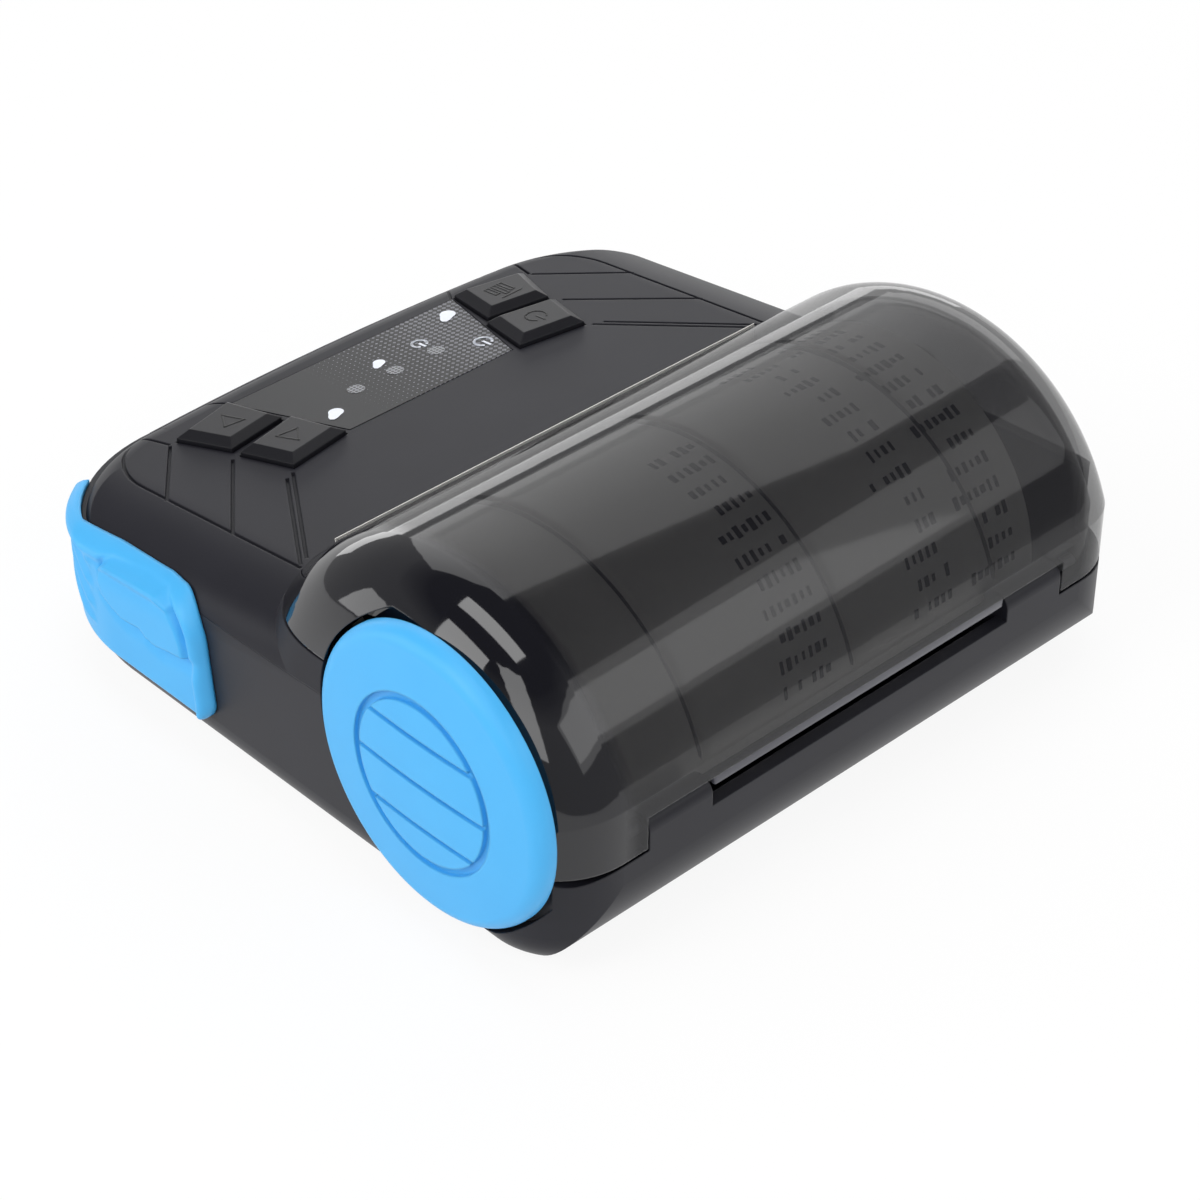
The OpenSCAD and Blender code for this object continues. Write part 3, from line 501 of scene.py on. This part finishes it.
def edge_gap(y, z):
    """Distance to the top and rear edges, and to any edge."""
    big_y, big_z = FLAP_REAR - BIG_R, flap_top(FLAP_REAR - BIG_R) - BIG_R
    if y > big_y and z > big_z:
        outer = BIG_R - math.hypot(y - big_y, z - big_z)
    else:
        outer = min(flap_top(y) - z, FLAP_REAR - y)
    any_edge = min(outer, z - FLAP_LOW)
    small_y, small_z = FLAP_REAR - SMALL_R, FLAP_LOW + SMALL_R
    if y > small_y and z < small_z:
        any_edge = min(any_edge, SMALL_R - math.hypot(y - small_y, z - small_z))
    return outer, any_edge


def smooth_step(value, start, end):
    """0 before start, 1 after end, and a soft rise between."""
    t = min(1.0, max(0.0, (value - start) / (end - start)))
    return t * t * (3 - 2 * t)


def pad_depth(y, z):
    """Distance inside the raised pad's outline, negative outside it."""
    inside, nearest = False, 1e9
    for (ay, az), (by, bz) in zip(PAD, PAD[1:] + PAD[:1]):
        dy, dz = by - ay, bz - az
        t = min(1, max(0, ((y - ay) * dy + (z - az) * dz) / (dy * dy + dz * dz)))
        nearest = min(nearest, math.hypot(y - ay - t * dy, z - az - t * dz))
        if (az > z) != (bz > z) and y < ay + dy * (z - az) / dz:
            inside = not inside
    return nearest if inside else -nearest


def flap_relief(along, y, z):
    """Height of the moulded relief over the plain skin."""
    outer, any_edge = edge_gap(y, z)
    depth = pad_depth(y, z)
    height = 0.0
    if outer < RIM_W:
        height += RIM_H * math.sin(math.pi * min(1.0, max(0.0, outer / RIM_W))) ** 1.5
    height += PAD_H * smooth_step(depth, -0.1, 0.4)
    # a groove all round the pad, and the finger recess under its lower edge
    height -= GROOVE_DEEP * math.exp(-(((depth + 0.5) / 0.4) ** 2))
    under = smooth_step(-depth, 0.1, 0.5) * smooth_step(3.4 + depth, 0.0, 2.8)
    height -= RECESS_DEEP * under * smooth_step(18.0 - z, 0.0, 1.5)
    # slanting ribs round the corner
    band = smooth_step(-along, 4.2, 6.2) * smooth_step(along + 23.0, 0.0, 2.5)
    band *= smooth_step(z, 9.5, 11.0) * smooth_step(flap_top(y) - 2.5 - z, 0.0, 1.0)
    wave = 0.5 + 0.5 * math.cos(2 * math.pi * (z + RIB_SLANT * along) / RIB_STEP)
    height += RIB_H * band * wave**1.4
    if any_edge < EDGE_R:
        height -= EDGE_R - math.sqrt(max(0.0, EDGE_R**2 - (EDGE_R - any_edge) ** 2))
    return height


REACH = 60  # how far outside the flap its rays start, mm


def flap_skin():
    """The soft flap, bent from a flat grid over the plain door and raised by its relief."""
    straight = FLAP_REAR - BIG_R - FLAP_Y
    start = FLAP_START * FLAP_R
    # columns stand closer together towards the round rear corner
    columns = [start + (straight - start) * k / 160 for k in range(160)]
    columns += [straight + BIG_R * math.sin(math.pi / 2 * k / 30) for k in range(31)]
    bm = bmesh.new()
    bmesh.ops.create_grid(bm, x_segments=len(columns) - 1, y_segments=80, size=1.0)
    outer_faces = bm.faces[:]
    spots = []
    for v in bm.verts:
        along = columns[round((v.co.x + 1) / 2 * (len(columns) - 1))]
        turn = min(0.0, along / FLAP_R)
        y = FLAP_Y + (FLAP_R * math.sin(turn) if along < 0 else along)
        low, high = flap_limits(y)
        z = low + (high - low) * (v.co.y + 1) / 2
        if along < 0:
            out = Vector((math.cos(turn), math.sin(turn), 0))
            far_off = Vector((FLAP_X, FLAP_Y, z)) + out * REACH
        else:
            out = Vector((1, 0, 0))
            far_off = Vector((FLAP_X + REACH, y - lean(y, z), z))
        hit = DOOR.ray_cast(far_off * MM, -out)[0]
        skin = hit if hit else (far_off - out * (REACH - FLAP_R)) * MM
        spots.append((v, skin + out * flap_relief(along, y, z) * MM, skin - out * SKIN * MM))
    made = bmesh.ops.extrude_face_region(bm, geom=outer_faces, use_keep_orig=True)["geom"]
    back = [g for g in made if isinstance(g, bmesh.types.BMVert)]
    by_place = {tuple(round(c, 5) for c in v.co): v for v in back}
    for v, top_spot, back_spot in spots:
        by_place[tuple(round(c, 5) for c in v.co)].co = back_spot
        v.co = top_spot
    return bm


flap = new_piece("flap_skin", flap_skin(), SILICONE, "flap", True)
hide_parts("flap_door")

# ------------------------------------------------------ stage and camera
camera_data = bpy.data.cameras.new("camera")
camera = bpy.data.objects.new("camera", camera_data)
bpy.context.scene.collection.objects.link(camera)
azimuth, elevation = math.radians(136.64), math.radians(36.38)  # the photo's view
back = Vector(
    (
        math.sin(azimuth) * math.cos(elevation),
        -math.cos(azimuth) * math.cos(elevation),
        math.sin(elevation),
    )
)
right = Vector((math.cos(azimuth), math.sin(azimuth), 0))
up = back.cross(right)
camera.matrix_world = Matrix((right, up, back)).transposed().to_4x4()
camera.location = (0.25559, 0.27805, 0.28383)
camera_data.lens = 97.64
camera_data.sensor_width = 36
camera_data.clip_start = 0.01
bpy.context.scene.camera = camera


def stage_floor():
    """A pale floor that reads white and keeps the shadow."""
    bm = bmesh.new()
    bmesh.ops.create_circle(bm, cap_ends=True, segments=64, radius=2.5)
    mesh = bpy.data.meshes.new("floor")
    bm.to_mesh(mesh)
    bm.free()
    obj = bpy.data.objects.new("floor", mesh)
    bpy.context.scene.collection.objects.link(obj)
    m, tree, shade, _ = finish_of("pale_sweep", "#F4F4F4", 0.9)
    rays = put(tree, "ShaderNodeLightPath").outputs
    mirrored = put(
        tree,
        "ShaderNodeMath",
        {"operation": "MAXIMUM"},
        {0: rays["Is Glossy Ray"], 1: rays["Is Transmission Ray"]},
    )
    seen = put(
        tree,
        "ShaderNodeMath",
        {"operation": "MAXIMUM"},
        {0: rays["Is Camera Ray"], 1: mirrored.outputs[0]},
    )
    glow = put(tree, "ShaderNodeEmission", {"Strength": 1.0})
    mix = put(
        tree,
        "ShaderNodeMixShader",
        None,
        {1: shade.outputs[0], 2: glow.outputs[0]},
    )
    share = put(tree, "ShaderNodeMath", {"operation": "MULTIPLY", 1: 0.9}, {0: seen.outputs[0]})
    tree.links.new(share.outputs[0], mix.inputs[0])
    out = tree.nodes["Material Output"]
    tree.links.new(mix.outputs[0], out.inputs["Surface"])
    mesh.materials.append(m)


def softbox(name, place, aim, size, watts):
    """A flat studio lamp that isn't seen itself."""
    data = bpy.data.lights.new(name, "AREA")
    data.shape = "RECTANGLE"
    data.size, data.size_y = size
    data.energy = watts
    obj = bpy.data.objects.new(name, data)
    obj.location = place
    obj.rotation_euler = (Vector(aim) - Vector(place)).to_track_quat("-Z", "Y").to_euler()
    obj.visible_camera = False
    bpy.context.scene.collection.objects.link(obj)


stage_floor()
# name, place, what it is aimed at, size in metres, watts
LAMPS = (
    ("top_box", (0.05, 0.05, 1.15), (0.05, 0.05, 0.02), (0.3, 0.75), 3.0),
    ("front_box", (-0.86, -0.56, 0.8), (0, 0, 0.04), (1.35, 1.05), 5.4),
    ("low_strip", (-0.75, -1.06, 0.1), (0, 0, 0.04), (1.3, 0.22), 2.2),
    ("right_box", (0.92, -0.12, 0.82), (0, 0, 0.02), (0.55, 0.9), 6.4),
    ("fill_box", (0.85, -0.85, 0.3), (0, 0, 0.02), (0.7, 0.5), 2.4),
    ("rear_box", (-0.46, 0.9, 0.66), (0, 0, 0.03), (1.4, 0.55), 2.0),
    ("rear_core", (-0.34, 0.95, 0.66), (0, 0, 0.03), (0.95, 0.4), 1.3),
    ("shoulder_box", (0.65, 0.62, 0.8), (0.05, 0.045, 0.04), (0.36, 0.9), 2.8),
)
for lamp in LAMPS:
    softbox(*lamp)

# a white studio whose ceiling is dim: the walls light the sides and show in the gloss
world = bpy.data.worlds.new("studio")
bpy.context.scene.world = world
world.use_nodes = True
wt = world.node_tree
sky = wt.nodes["Background"]
sky.inputs["Color"].default_value = (1, 1, 1, 1)
path = put(wt, "ShaderNodeLightPath")
aim = put(wt, "ShaderNodeTexCoord")
height = put(wt, "ShaderNodeSeparateXYZ", None, {0: aim.outputs["Generated"]})
walls = put(
    wt,
    "ShaderNodeMapRange",
    {"From Min": 0.62, "From Max": 0.82, "To Min": 0.42, "To Max": 0.12},
    {"Value": height.outputs["Z"]},
)
level = put(
    wt,
    "ShaderNodeMix",
    {"data_type": "FLOAT", 3: 1.0},
    {0: path.outputs["Is Camera Ray"], 2: walls.outputs[0]},
)
wt.links.new(level.outputs[0], sky.inputs["Strength"])

bpy.context.scene.view_settings.view_transform = "Standard"
